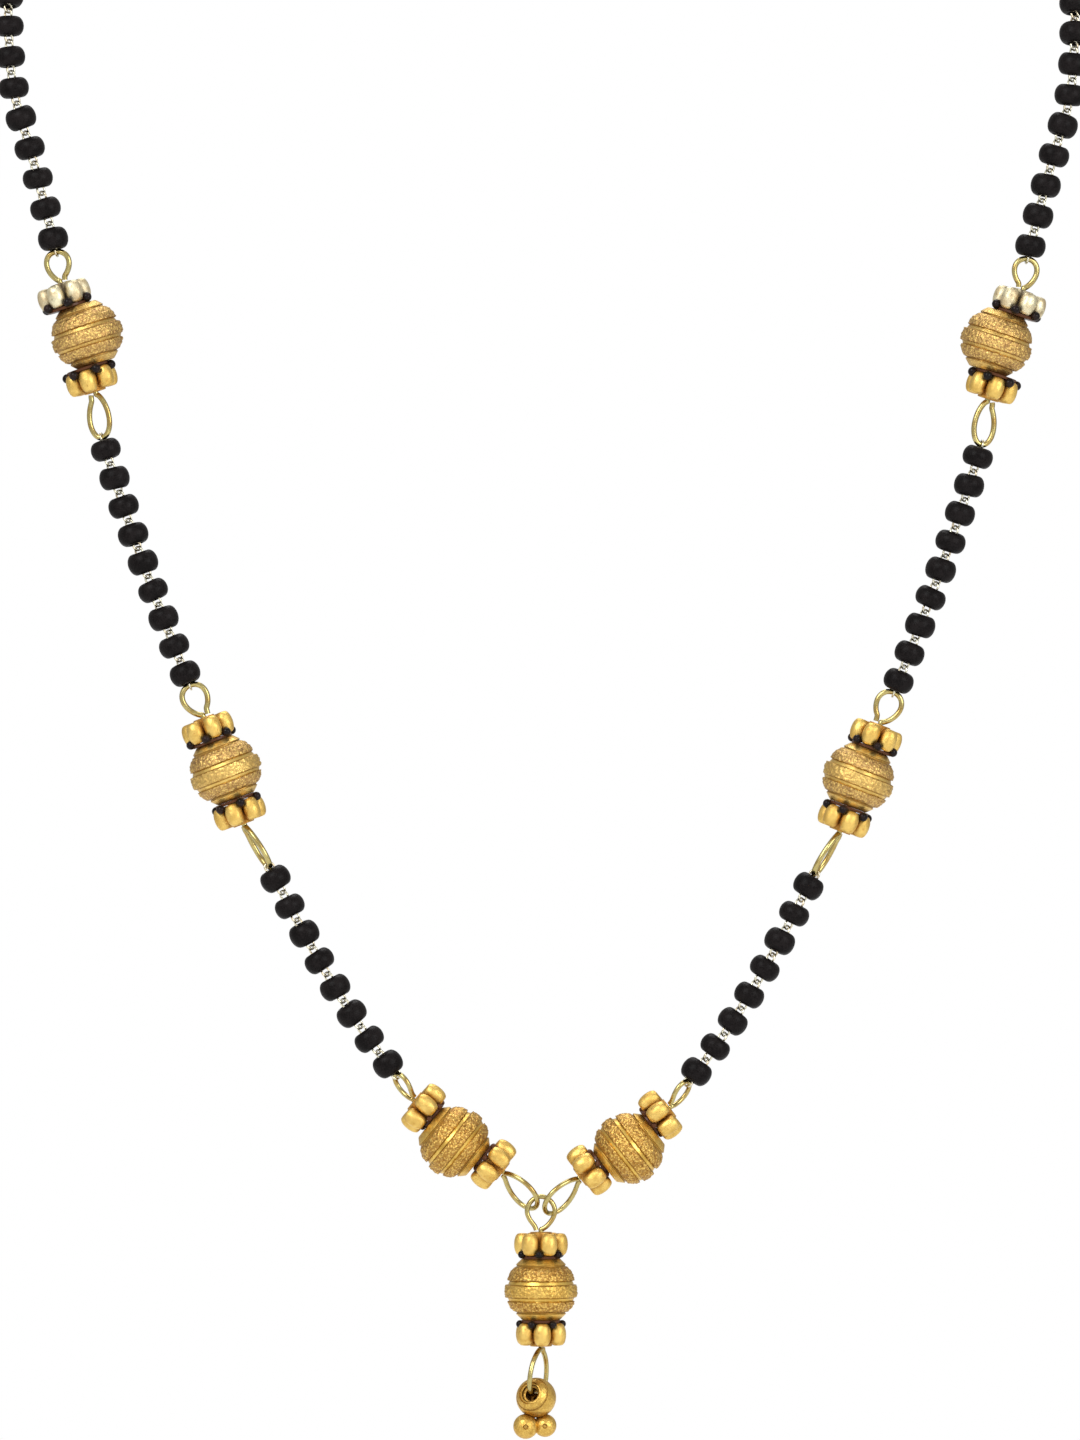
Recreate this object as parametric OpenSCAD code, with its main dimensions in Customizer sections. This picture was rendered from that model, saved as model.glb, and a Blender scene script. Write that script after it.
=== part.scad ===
// A short mangalsutra: two chains of black beads and gold balls that meet in a gold ball pendant.
// Left and right are the viewer's. The nape is at the origin, the flat front hangs at -Y, +Z is up.

/* [Necklace] */
// Height from the nape down to the point where the pendant hangs
drop_h = 164.5; // [156:0.5:172]
// Distance from the nape forward to the flat front
front_depth = 51; // [47:0.5:55]
// How much lower the right side hangs
right_low = 1; // [0:0.1:1.2]
// Gap kept between pieces that hold or touch each other
clearance = 0.12; // [0.11:0.01:0.14]
// Gap between a ball and the wheels pressed against it
seat = 0.04; // [0.03:0.01:0.06]

/* [Black beads] */
// Diameter of a bead
bead_d = 3.1; // [2.9:0.05:3.4]
// Height of a bead along its hole
bead_h = 2.3; // [2.2:0.05:2.35]
// Diameter of the flat at each end of a bead
bead_flat_d = 1.95; // [1.9:0.05:2.2]
// Diameter of the drilled hole
bead_hole_d = 0.6; // [0.5:0.05:0.8]
// Most that a bead leans on its wire, in degrees
bead_tilt = 6; // [0:1:7]
// Beads in each lower strand
lower_beads = 8; // [6:1:10]
// Beads in each middle strand
mid_beads = 9; // [7:1:11]
// Beads in each upper strand, up to the clasp
upper_beads = 38; // [36:1:40]

/* [Bead links] */
// Distance from bead to bead in the lower strands
lower_pitch = 3.1; // [3:0.01:3.2]
// Distance from bead to bead in the middle strands
mid_pitch = 2.97; // [2.9:0.01:3.1]
// Distance from bead to bead in the upper strands
upper_pitch = 3.12; // [3:0.01:3.2]
// Wire diameter of the rings at the ends of a link
link_wire_d = 0.22; // [0.18:0.02:0.24]
// Outer diameter of those rings
link_ring_d = 1.2; // [1.16:0.02:1.28]
// Diameter of the straight wire in the bead
link_shaft_d = 0.2; // [0.16:0.02:0.22]

/* [Gold balls] */
// Diameter of a ball at its widest band
ball_d = 7.35; // [6.8:0.05:7.8]
// Length of a ball along its hole
ball_h = 6.1; // [5.7:0.05:6.5]
// Diameter of the flat at each end
ball_end_d = 3.8; // [3.5:0.1:4]
// Height of the smooth chamfered collar
collar_h = 0.6; // [0.5:0.05:0.7]
// Depth of the two grooves beside the collars
collar_groove = 0.14; // [0.08:0.02:0.2]
// Depth of the two bright stripes below the frosted bands
stripe_groove = 0.24; // [0.12:0.02:0.3]
// Diameter of the drilled hole
ball_hole_d = 2.6; // [2.6:0.05:2.8]

/* [Wheels] */
// Diameter of a gold wheel over its grains
wheel_d = 5.4; // [5.2:0.05:5.6]
// Length of the grains along the axis
wheel_h = 2.2; // [2:0.05:2.4]
// Width of a grain
grain_d = 1.75; // [1.65:0.05:1.8]
// Width of a grain at its flat ends
grain_end_d = 0.8; // [0.6:0.05:1]
// Outer diameter of the tube that the grains are soldered to
tube_d = 2.2; // [2.1:0.05:2.4]
// How far the tube stands out past the grains
tube_rise = 0.12; // [0.05:0.01:0.2]
// Space between a ball and a gold wheel, where the black wheel lies
stack_gap = 0.34; // [0.3:0.02:0.4]
// Size of a black lobe on the upper balls
upper_lobe_d = 0.96; // [0.8:0.02:1]
// Size of a black lobe on the middle balls
mid_lobe_d = 0.9; // [0.8:0.02:1]
// Size of a black lobe on the lower balls, where it hides behind the grains
lower_lobe_d = 0.6; // [0.5:0.02:0.7]
// Size of a black lobe on the pendant
pendant_lobe_d = 0.8; // [0.7:0.02:0.9]

/* [Eye pins] */
// Wire diameter of the pins and their loops
pin_wire_d = 0.46; // [0.4:0.02:0.48]
// Straight neck between a wheel and the start of a loop
neck_h = 0.25; // [0.2:0.05:0.35]
// Joint to joint length of a lower ball with its pin
lower_span = 18.75; // [18.4:0.05:19.4]
// Joint to joint length of a middle ball with its pin
mid_span = 19.4; // [19:0.1:20]
// Joint to joint length of an upper ball with its pin
upper_span = 18.7; // [18.4:0.1:19.5]
// Width of the pendant's top loop
pendant_loop_w = 3.1; // [3:0.1:3.4]
// Length of the pendant's top loop
pendant_loop_h = 3.3; // [3.1:0.1:3.6]

/* [Drop] */
// Diameter of the drilled ball
drop_d = 4; // [3.8:0.1:4.2]
// Diameter of its hole
drop_hole_d = 1.24; // [1.2:0.02:1.4]
// Diameter of the left small ball
left_drop_d = 2.5; // [2.3:0.1:2.7]
// Diameter of the right small ball
right_drop_d = 2.3; // [2.1:0.1:2.5]
// Depth of the loop that the drop hangs in, front to back
drop_loop_w = 4.6; // [4.5:0.1:5]
// Length of that loop
drop_loop_h = 4.65; // [4.4:0.05:4.9]

/* [Clasp] */
// Diameter of the plain barrel
clasp_d = 3; // [2.6:0.1:3.6]
// Length of the barrel
clasp_len = 8; // [7:0.5:9]
// Diameter of its eyes at the middle of their wire
clasp_eye_d = 1.4; // [1.3:0.1:1.6]

/* [Hidden] */
$fn = 24;
WIRE_SIDES = 8;
LINK_SIDES = 6;
LOOP_STEP = 15;
SPLINE_STEPS = 10;

SIDES = [["left", -1], ["right", 1]];

// Strands from the bottom up: name, beads, pitch.
STRANDS = [
    ["lower", lower_beads, lower_pitch],
    ["mid", mid_beads, mid_pitch],
    ["upper", upper_beads, upper_pitch]
];
BEADS = 1;
PITCH = 2;

// Ball stacks from the bottom up. SPAN is the joint to joint length, SHARE the place of the ball along it,
// LEAN the outward turn of its axis, ASIDE its place outward of the joints, SHIFT how far the ball lies
// off its pin. Each loop is a width, a taper towards the neck and a turn out of the flat front. PHASES are
// the turns of the lower and the upper wheels.
STACKS = [
    ["lower", lower_span, 0.544, 4.7, 0.16, 0.7, [3.8, 0.5, 55], [2.3, 0.5, 60], [0, 15]],
    ["mid", mid_span, 0.537, -2.8, 0.3, -0.15, [2.4, 0.5, 72], [2.9, 0.5, 0], [47, 12]],
    ["upper", upper_span, 0.538, 4.1, -0.05, -0.92, [2.3, 0.4, 15], [2.7, 0.55, 10], [40, 55]]
];
NAME = 0;
SPAN = 1;
SHARE = 2;
LEAN = 3;
ASIDE = 4;
SHIFT = 5;
LOW_LOOP = 6;
TOP_LOOP = 7;
PHASES = 8;
WIDTH = 0;
TAPER = 1;
TURN = 2;

// Chosen points of the right side's route, from the pendant up the front, round the neck to the nape.
ROUTE = [
    [0.75, -51, -164.5], [14.35, -51, -151.6], [27.3, -51, -130.4], [35.1, -51, -112.6],
    [43.9, -51, -87.7], [48.4, -51, -69.5], [51.1, -51, -59], [52.8, -51, -53], [53.3, -50.8, -47],
    [53.3, -49, -40], [52.4, -44.5, -31], [49.6, -36.5, -21.5], [43.6, -25.5, -12.5],
    [33.6, -14, -6], [21, -4.5, -2], [5.6, 1.5, 0]
];

// Bands of a ball between its collars: height share, radius share above the collar, and how the surface is
// cut there, 0 where it isn't, 1 by the groove beside a collar and 2 by a bright stripe.
BANDS = [
    [0.98, 0.06, 1], [0.94, 0.06, 1], [0.91, 0.17, 0], [0.75, 0.47, 0], [0.56, 0.68, 0], [0.4, 0.75, 0],
    [0.36, 0.75, 0], [0.34, 0.75, 2], [0.2, 0.87, 2], [0.18, 0.94, 0], [0, 0.99, 0], [-0.12, 1, 0],
    [-0.22, 0.99, 0], [-0.33, 0.93, 0], [-0.35, 0.92, 2], [-0.47, 0.8, 2], [-0.49, 0.77, 0],
    [-0.62, 0.71, 0], [-0.78, 0.5, 0], [-0.91, 0.25, 0], [-0.94, 0.06, 1], [-0.98, 0.06, 1]
];
GRAINS = 6;
LOBE_OVERHANG = 0.2;
LOBES = [lower_lobe_d, mid_lobe_d, upper_lobe_d];
BOW_ROUNDS = 8;
PENDANT_PHASES = [34, -5];

// Derived sizes
pin_r = pin_wire_d / 2;
ring_r = (link_ring_d - link_wire_d) / 2;
link_reach = (2 * (link_wire_d / 2) + clearance) / 2;
pin_link_reach = (link_wire_d / 2 + pin_r + clearance) / 2;
pin_pin_reach = (2 * pin_r + clearance) / 2;
grain_ring = (wheel_d - grain_d) / 2;
end_z = ball_h / 2;
wheel_z = end_z + stack_gap + wheel_h / 2;
neck_z = end_z + stack_gap + wheel_h + tube_rise + neck_h;
clasp_eye_x = clasp_len / 2 + clasp_eye_d / 2;
VIEW = [0, 1, 0];
UP = [0, 0, 1];

// Vectors
function unit(v) = v / norm(v);
function lerp(a, b, t) = a + (b - a) * t;
function square_to(v, axis) = unit(v - axis * (v * axis));
function turned(v, axis, angle) = v * cos(angle) + cross(axis, v) * sin(angle);
function mirrored(p, way) = [p[0] * way, p[1], p[2]];
function last(list) = list[len(list) - 1];
function sums(list) = [for (i = 0, s = 0; i <= len(list); s = s + (i < len(list) ? list[i] : 0), i = i + 1) s];

// The route of one side. It runs from the pendant's joint to the clasp's eye, and its bow away from the
// straight line between them is scaled until its length is that of the pieces.
function piece_lengths() = concat(
    [STACKS[0][SPAN]], [for (i = [1 : STRANDS[0][BEADS]]) STRANDS[0][PITCH]],
    [STACKS[1][SPAN]], [for (i = [1 : STRANDS[1][BEADS]]) STRANDS[1][PITCH]],
    [STACKS[2][SPAN]], [for (i = [1 : STRANDS[2][BEADS]]) STRANDS[2][PITCH]]
);
PIECE_ENDS = sums(piece_lengths());
STACK_JOINT = [0, 1 + lower_beads, 2 + lower_beads + mid_beads];

function route_start() = [ROUTE[0][0], -front_depth, -drop_h];
function route_end() = [clasp_eye_x + clasp_eye_d / 2 - pin_link_reach, clasp_d / 2, 0];
function sag(i, way) = way < 0 || i == len(ROUTE) - 1 ? 0 : i == 0 ? right_low / 2 : right_low;
function route_points(bow, way) = [
    for (i = [0 : len(ROUTE) - 1])
        let (t = i / (len(ROUTE) - 1))
        lerp(route_start(), route_end(), t) + bow * (ROUTE[i] - lerp(ROUTE[0], last(ROUTE), t))
            - [0, 0, sag(i, way)]
];
function slope(p, i) =
    i == 0 ? unit(p[1] - p[0])
    : i == len(p) - 1 ? unit(p[i] - p[i - 1])
    : let (a = norm(p[i] - p[i - 1]), b = norm(p[i + 1] - p[i]))
        ((p[i + 1] - p[i]) / b * a + (p[i] - p[i - 1]) / a * b) / (a + b);
function hermite(p, q, m, n, t) =
    p * (2 * t ^ 3 - 3 * t ^ 2 + 1) + m * (t ^ 3 - 2 * t ^ 2 + t)
    + q * (3 * t ^ 2 - 2 * t ^ 3) + n * (t ^ 3 - t ^ 2);
function spline(p) = concat([p[0]], [
    for (i = [0 : len(p) - 2], s = [1 : SPLINE_STEPS])
        let (span = norm(p[i + 1] - p[i]))
        hermite(p[i], p[i + 1], slope(p, i) * span, slope(p, i + 1) * span, s / SPLINE_STEPS)
]);
function steps(p) = [for (i = [1 : len(p) - 1]) norm(p[i] - p[i - 1])];
function spline_length(bow, way) = last(sums(steps(spline(route_points(bow, way)))));
// Secant steps towards the bow that gives the wanted length
function fitted_bow(a, b, len_a, len_b, way, rounds) =
    rounds == 0 || abs(len_b - last(PIECE_ENDS)) < 1e-6 ? b
    : let (c = b + (last(PIECE_ENDS) - len_b) * (b - a) / (len_b - len_a))
        fitted_bow(b, c, len_b, spline_length(c, way), way, rounds - 1);
function bow_of(way) = fitted_bow(0.97, 1, spline_length(0.97, way), spline_length(1, way), way,
    BOW_ROUNDS);
function joint_points(way) =
    let (
        curve = spline(route_points(bow_of(way), way)),
        along = sums(steps(curve)),
        tables = [for (k = [0 : 2]) [for (i = [0 : len(curve) - 1]) [along[i], curve[i][k]]]]
    )
    [for (s = PIECE_ENDS) mirrored([for (k = [0 : 2]) lookup(s, tables[k])], way)];
JOINTS = [joint_points(-1), joint_points(1)];
function side_joints(way) = JOINTS[way < 0 ? 0 : 1];

// The direction of each piece, and a second direction that is carried along without twisting
function axes(way) = let (j = side_joints(way)) [for (i = [1 : len(j) - 1]) unit(j[i] - j[i - 1])];
function fronts(way) =
    let (a = axes(way))
    [for (i = 0, f = VIEW; i < len(a); i = i + 1, f = i < len(a) ? square_to(f, a[i]) : f) f];

// One ball stack: its ends, middle and axis
function stack_low(way, k) = side_joints(way)[STACK_JOINT[k]];
function stack_high(way, k) = side_joints(way)[STACK_JOINT[k] + 1];
function stack_axis(way, k) =
    turned(unit(stack_high(way, k) - stack_low(way, k)), VIEW, way * STACKS[k][LEAN]);
function stack_outward(way, k) = way * cross(VIEW, stack_axis(way, k));
function stack_middle(way, k) =
    lerp(stack_low(way, k), stack_high(way, k), STACKS[k][SHARE])
    + stack_outward(way, k) * STACKS[k][ASIDE];
function loop_normal(way, k, loop) =
    turned(VIEW, stack_axis(way, k), way * STACKS[k][loop][TURN]);
function low_neck(way, k) = stack_middle(way, k) - stack_axis(way, k) * neck_z;
function top_neck(way, k) = stack_middle(way, k) + stack_axis(way, k) * neck_z;
function past(from, to, reach) = to + unit(to - from) * reach;
function low_tip(way, k) =
    past(low_neck(way, k), stack_low(way, k), k == 0 ? pin_pin_reach : pin_link_reach);
function top_tip(way, k) = past(top_neck(way, k), stack_high(way, k), pin_link_reach);
// The direction square to the plane of each loop
function low_plane(way, k) =
    square_to(loop_normal(way, k, LOW_LOOP), unit(low_tip(way, k) - low_neck(way, k)));
function top_plane(way, k) =
    square_to(loop_normal(way, k, TOP_LOOP), unit(top_tip(way, k) - top_neck(way, k)));

// The pendant hangs straight down from the middle between its two joints
pendant_joint = (side_joints(-1)[0] + side_joints(1)[0]) / 2;
loop_top_rise = pendant_loop_h / 3;
pendant_loop_tip = pendant_joint + UP * loop_top_rise;
pendant_neck = pendant_loop_tip - UP * pendant_loop_h;
pendant_middle = pendant_neck - UP * neck_z;
drop_neck = pendant_middle - UP * neck_z;

// The drop's loop leans to the left and opens front to back, and the drilled ball hangs on its lowest point.
// Its hole is drilled downwards from the front and more steeply from the back, and the two meet inside.
drop_lean = 6;
drop_turn = 24;
drop_pitches = [20, 35];
drop_overlap = 0.13;
drop_way = [-sin(drop_lean), 0, -cos(drop_lean)];
drop_tip = drop_neck + drop_way * drop_loop_h;
drop_front = [-sin(drop_turn), -cos(drop_turn), 0];
drop_middle = drop_tip - UP * (drop_hole_d / 2 - pin_r - clearance);

// A wire bent along a path, as one closed solid with parallel rings
function tangents(p) = [
    for (i = [0 : len(p) - 1]) unit(p[min(i + 1, len(p) - 1)] - p[max(i - 1, 0)])
];
function sweep_frames(t, start) =
    [for (i = 0, n = square_to(start, t[0]); i < len(t); i = i + 1, n = i < len(t) ? square_to(n, t[i]) : n) n];
module wire(path, r, start) {
    t = tangents(path);
    n = sweep_frames(t, start);
    points = [
        for (i = [0 : len(path) - 1], s = [0 : WIRE_SIDES - 1])
            path[i] + r * turned(n[i], t[i], s * 360 / WIRE_SIDES)
    ];
    walls = [
        for (i = [0 : len(path) - 2], s = [0 : WIRE_SIDES - 1])
            let (a = i * WIRE_SIDES, b = a + WIRE_SIDES, q = (s + 1) % WIRE_SIDES)
            each [[a + s, b + s, b + q], [a + s, b + q, a + q]]
    ];
    first = [[for (s = [0 : WIRE_SIDES - 1]) s]];
    end = [[for (s = [WIRE_SIDES - 1 : -1 : 0]) (len(path) - 1) * WIRE_SIDES + s]];
    polyhedron(points = points, faces = concat(first, walls, end));
}

// A loop from the neck round its tip and back to the neck's side. POINT above 1 makes it a diamond.
function signed_power(x, p) = sign(x) * abs(x) ^ p;
function loop_point(phi, width, length, taper, point) = [
    width / 2 * signed_power(sin(phi), point) * sin(phi / 2) ^ taper,
    length / 2 * (1 - signed_power(cos(phi), point))
];
function loop_path(neck, tip, normal, width, taper, point, way) =
    let (
        along = unit(tip - neck),
        side = way * unit(cross(normal, along)),
        length = norm(tip - neck),
        beside = 2 * pin_r + clearance
    )
    [
        for (phi = [LOOP_STEP : LOOP_STEP : 360 - LOOP_STEP])
            let (p = loop_point(phi, width, length, taper, point))
            if (phi < 270 || p[1] > pin_r)
                neck + side * (phi < 270 ? p[0] : min(p[0], -beside)) + along * p[1]
    ];
function reversed(list) = [for (i = [len(list) - 1 : -1 : 0]) list[i]];
// The whole pin: lower loop, neck, straight shaft, neck, upper loop
function pin_path(low, high, low_loop, top_loop) = concat(
    reversed(low_loop), [low, low + unit(high - low) * neck_h],
    [high - unit(high - low) * neck_h, high], top_loop
);

// Places a piece at a point with its own axis up the strand and its back away from the viewer
module at(middle, axis, front) {
    back = square_to(front, axis);
    right = cross(back, axis);
    multmatrix([
        [right[0], back[0], axis[0], middle[0]],
        [right[1], back[1], axis[1], middle[1]],
        [right[2], back[2], axis[2], middle[2]]
    ]) children();
}

// The radius of the arc that gives a barrel its bow
function barrel_curve(d, h, end_d) = let (gain = (d - end_d) / 2) (h ^ 2 / 4 + gain ^ 2) / (2 * gain);
module barrel_outline(d, h, end_d) {
    curve_r = barrel_curve(d, h, end_d);
    intersection() {
        translate([d / 2 - curve_r, 0]) circle(r = curve_r, $fn = 120);
        translate([0, -h / 2]) square([d, h]);
    }
}

// A drum-shaped glass bead, with a cup at each end that the link's ring lies in
module bead(cup_z, tilt, tilt_way) {
    cup_r = link_ring_d / 2 + clearance + cup_z * sin(bead_tilt);
    rotate([0, 0, tilt_way]) rotate([tilt, 0, 0])
        rotate_extrude()
            difference() {
                barrel_outline(bead_d, bead_h, bead_flat_d);
                translate([0, -bead_h]) square([bead_hole_d / 2, 2 * bead_h]);
                for (end = [-1, 1]) translate([0, end * cup_z]) circle(r = cup_r);
            }
}

// How far each bead leans and which way, the same at every build
function lean_of(i) = bead_tilt * abs(sin(i * 77 + 20));
function lean_way(i) = i * 137 % 360;

module beads(way, k) {
    first = STACK_JOINT[k] + 1;
    j = side_joints(way);
    a = axes(way);
    f = fronts(way);
    cup_z = STRANDS[k][PITCH] / 2 - (ring_r - link_reach);
    color("#1b1718")
        for (i = [first : first + STRANDS[k][BEADS] - 1])
            at((j[i] + j[i + 1]) / 2, a[i], f[i]) bead(cup_z, lean_of(i), lean_way(i + 90 * way));
}

// A ring of link wire that stands in the plane of the link's axis and of a direction across it
module link_ring(middle, axis, inplane) {
    at(middle, square_to(cross(inplane, axis), axis), axis)
        rotate_extrude() translate([ring_r, 0]) circle(d = link_wire_d, $fn = LINK_SIDES);
}

// One bead's wire: a ring, a straight shaft through the bead and a ring
module link(from, to, low_inplane, top_inplane, low_reach, top_reach) {
    axis = unit(to - from);
    low = from + axis * (ring_r - low_reach);
    top = to - axis * (ring_r - top_reach);
    link_ring(low, axis, low_inplane);
    link_ring(top, axis, top_inplane);
    at(low + axis * ring_r, axis, square_to(abs(axis[1]) < 0.9 ? VIEW : UP, axis))
        cylinder(d = link_shaft_d, h = norm(top - low) - 2 * ring_r, $fn = LINK_SIDES);
}

module links(way, k) {
    first = STACK_JOINT[k] + 1;
    final = first + STRANDS[k][BEADS] - 1;
    j = side_joints(way);
    a = axes(way);
    f = fronts(way);
    top_pin = k < len(STACKS) - 1 ? low_plane(way, k + 1) : UP;
    color("#d9cfa8")
        for (i = [first : final])
            link(
                j[i], j[i + 1],
                i == first ? square_to(top_plane(way, k), a[i]) : turned(f[i], a[i], -45),
                i == final ? square_to(top_pin, a[i]) : turned(f[i], a[i], 45),
                i == first ? pin_link_reach : link_reach,
                i == final ? pin_link_reach : link_reach
            );
}

// The outline of a ball: flat end, chamfered collar, groove, and bands between bright stripes
function ball_outline() =
    let (
        collar_r = ball_end_d / 2 + collar_h,
        collar_z = end_z - collar_h,
        cut = [0, collar_groove, stripe_groove]
    )
    concat(
        [[ball_hole_d / 2, end_z], [ball_end_d / 2, end_z], [collar_r, collar_z]],
        [for (b = BANDS) [lerp(collar_r, ball_d / 2, b[1]) - cut[b[2]], collar_z * b[0]]],
        [[collar_r, -collar_z], [ball_end_d / 2, -end_z], [ball_hole_d / 2, -end_z]]
    );

module ball() {
    color("#d9a441") rotate_extrude($fn = 48) polygon(ball_outline());
}

// A ring of barrel-shaped grains soldered to a tube, with the tube's long end up
module gold_wheel() {
    color("#e0ac48")
        difference() {
            union() {
                for (i = [0 : GRAINS - 1])
                    rotate([0, 0, i * 360 / GRAINS]) translate([grain_ring, 0, 0])
                        rotate_extrude() barrel_outline(grain_d, wheel_h, grain_end_d);
                translate([0, 0, -wheel_h / 2 + tube_rise]) cylinder(d = tube_d, h = wheel_h);
            }
            translate([0, 0, -wheel_h]) cylinder(d = pin_wire_d + 2 * clearance, h = 2 * wheel_h);
        }
}

// Distance of a lobe's middle from the wheel's axis, where it lies in the valley between two grains
function grain_radius(z) =
    let (curve_r = barrel_curve(grain_d, wheel_h, grain_end_d)) grain_d / 2 - curve_r + sqrt(curve_r ^ 2 - z ^ 2);
function lobe_to_grain(lobe_d) = clearance / 2 + max([
    for (up = [0 : 0.05 : 0.45])
        let (sunk = seat + lobe_d * (0.5 + up) - stack_gap)
        grain_radius(wheel_h / 2 - max(0, sunk)) + lobe_d * sqrt(0.25 - up ^ 2)
]);
function lobe_ring(lobe_d) =
    grain_ring * cos(180 / GRAINS)
    + sqrt(max(0, lobe_to_grain(lobe_d) ^ 2 - (grain_ring * sin(180 / GRAINS)) ^ 2));

// A washer between a ball and a gold wheel, with a round lobe in each valley of the wheel. Its middle is the
// ball's middle, and it is turned as the gold wheel is.
module black_wheel(lobe_d) {
    ring = lobe_ring(lobe_d);
    color("#1a1614")
        difference() {
            union() {
                translate([0, 0, end_z + seat])
                    cylinder(r = ring - lobe_d * LOBE_OVERHANG, h = stack_gap - 2 * seat);
                for (i = [0 : GRAINS - 1])
                    rotate([0, 0, (i + 0.5) * 360 / GRAINS]) translate([ring, 0, end_z + seat + lobe_d / 2])
                        sphere(d = lobe_d);
            }
            cylinder(d = pin_wire_d + 2 * clearance, h = ball_h);
        }
}

module place_stack(way, k, shift) {
    at(stack_middle(way, k) + stack_outward(way, k) * shift, stack_axis(way, k), VIEW) children();
}

// The two ends of a stack, turned so that the mirrored sides' grains match
module top_end(phase) {
    rotate([0, 0, phase]) children();
}
module bottom_end(phase) {
    rotate([180, 0, phase]) children();
}

module eye_pin(path) {
    color("#d8b765") wire(path, pin_r, VIEW);
}

module side_eye_pin(way, k) {
    low = low_neck(way, k);
    high = top_neck(way, k);
    low_loop = STACKS[k][LOW_LOOP];
    top_loop = STACKS[k][TOP_LOOP];
    eye_pin(pin_path(
        low, high,
        loop_path(low, low_tip(way, k), loop_normal(way, k, LOW_LOOP), low_loop[WIDTH], low_loop[TAPER], 1, way),
        loop_path(high, top_tip(way, k), loop_normal(way, k, TOP_LOOP), top_loop[WIDTH], top_loop[TAPER], 1, way)
    ));
}

module pendant_eye_pin() {
    eye_pin(pin_path(
        drop_neck, pendant_neck,
        loop_path(drop_neck, drop_tip, cross(drop_front, UP), drop_loop_w, 0.5, 0.9, 1),
        loop_path(pendant_neck, pendant_loop_tip, VIEW, pendant_loop_w, 0.35, 1.1, 1)
    ));
}

// A drilled ball with stepped mouths, and two smaller balls soldered under it, each with a drilled dimple
MOUTH_STEPS = [[1.9, 0.72], [1.45, 0.56]];
SOLDER_DEPTH = 0.2;
DIMPLE_SHARE = 0.2;
function drop_ball_middle(d, aside, forward) =
    drop_middle + unit([sin(aside), -forward, -cos(aside)]) * ((drop_d + d) / 2 - SOLDER_DEPTH);
LEFT_DROP = drop_ball_middle(left_drop_d, -20, 0.08);
RIGHT_DROP = drop_ball_middle(right_drop_d, 17.5, -0.1);
module drop_cluster() {
    color("#d9a441")
        difference() {
            union() {
                translate(drop_middle) sphere(d = drop_d, $fn = 40);
                translate(LEFT_DROP) sphere(d = left_drop_d, $fn = 32);
                translate(RIGHT_DROP) sphere(d = right_drop_d, $fn = 32);
            }
            for (bore = [[drop_front, drop_pitches[0]], [-drop_front, drop_pitches[1]]])
                at(drop_middle, bore[0] * cos(bore[1]) + UP * sin(bore[1]), UP) {
                    translate([0, 0, -drop_overlap]) cylinder(d = drop_hole_d, h = drop_d);
                    for (step = MOUTH_STEPS)
                        translate([0, 0, step[1] * drop_d / 2]) cylinder(d = drop_hole_d * step[0], h = drop_d);
                }
            for (ball = [[LEFT_DROP, left_drop_d], [RIGHT_DROP, right_drop_d]])
                at(ball[0] - VIEW * ball[1] * 0.4, VIEW, UP)
                    translate([0, 0, -ball[1] / 2]) cylinder(d = ball[1] * DIMPLE_SHARE, h = ball[1] / 2);
        }
}

// The plain clasp at the nape: a barrel across the back with a wire eye at each end
module clasp_barrel() {
    color("#d9a441")
        translate([0, clasp_d / 2, 0]) {
            rotate([0, 90, 0]) cylinder(d = clasp_d, h = clasp_len, center = true);
            for (end = [-1, 1])
                translate([end * clasp_eye_x, 0, 0])
                    rotate_extrude() translate([clasp_eye_d / 2, 0]) circle(d = pin_wire_d, $fn = 16);
        }
}

// The pendant's pieces
at(pendant_middle, UP, VIEW) ball();  // pendant_ball
at(pendant_middle, UP, VIEW) top_end(PENDANT_PHASES[1]) translate([0, 0, wheel_z]) gold_wheel();  // pendant_top_wheel
at(pendant_middle, UP, VIEW) bottom_end(PENDANT_PHASES[0]) translate([0, 0, wheel_z]) gold_wheel();  // pendant_bottom_wheel
at(pendant_middle, UP, VIEW) top_end(PENDANT_PHASES[1]) black_wheel(pendant_lobe_d);  // pendant_top_black_wheel
at(pendant_middle, UP, VIEW) bottom_end(PENDANT_PHASES[0]) black_wheel(pendant_lobe_d);  // pendant_bottom_black_wheel
pendant_eye_pin();
drop_cluster();
clasp_barrel();

// The two sides' balls, each with its wheels and pin
for (side = SIDES, k = [0 : len(STACKS) - 1]) {
    name = str(side[0], "_", STACKS[k][NAME], "_");
    way = side[1];
    low_phase = way * STACKS[k][PHASES][0];
    top_phase = way * STACKS[k][PHASES][1];
    place_stack(way, k, STACKS[k][SHIFT]) ball();
    place_stack(way, k, 0) top_end(top_phase) translate([0, 0, wheel_z]) gold_wheel();
    place_stack(way, k, 0) bottom_end(low_phase) translate([0, 0, wheel_z]) gold_wheel();
    place_stack(way, k, 0) top_end(top_phase) black_wheel(LOBES[k]);
    place_stack(way, k, 0) bottom_end(low_phase) black_wheel(LOBES[k]);
    side_eye_pin(way, k);
}

// The bead strands and the wire links that carry them
for (side = SIDES, k = [0 : len(STRANDS) - 1]) {
    name = str(side[0], "_", STRANDS[k][NAME], "_");
    beads(side[1], k);
    links(side[1], k);
}
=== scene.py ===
"""A short mangalsutra: black glass beads on wire links, banded gold balls and a hanging drop."""

import itertools
import math

import bpy
import numpy as np
from mathutils import Matrix, Vector


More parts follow.
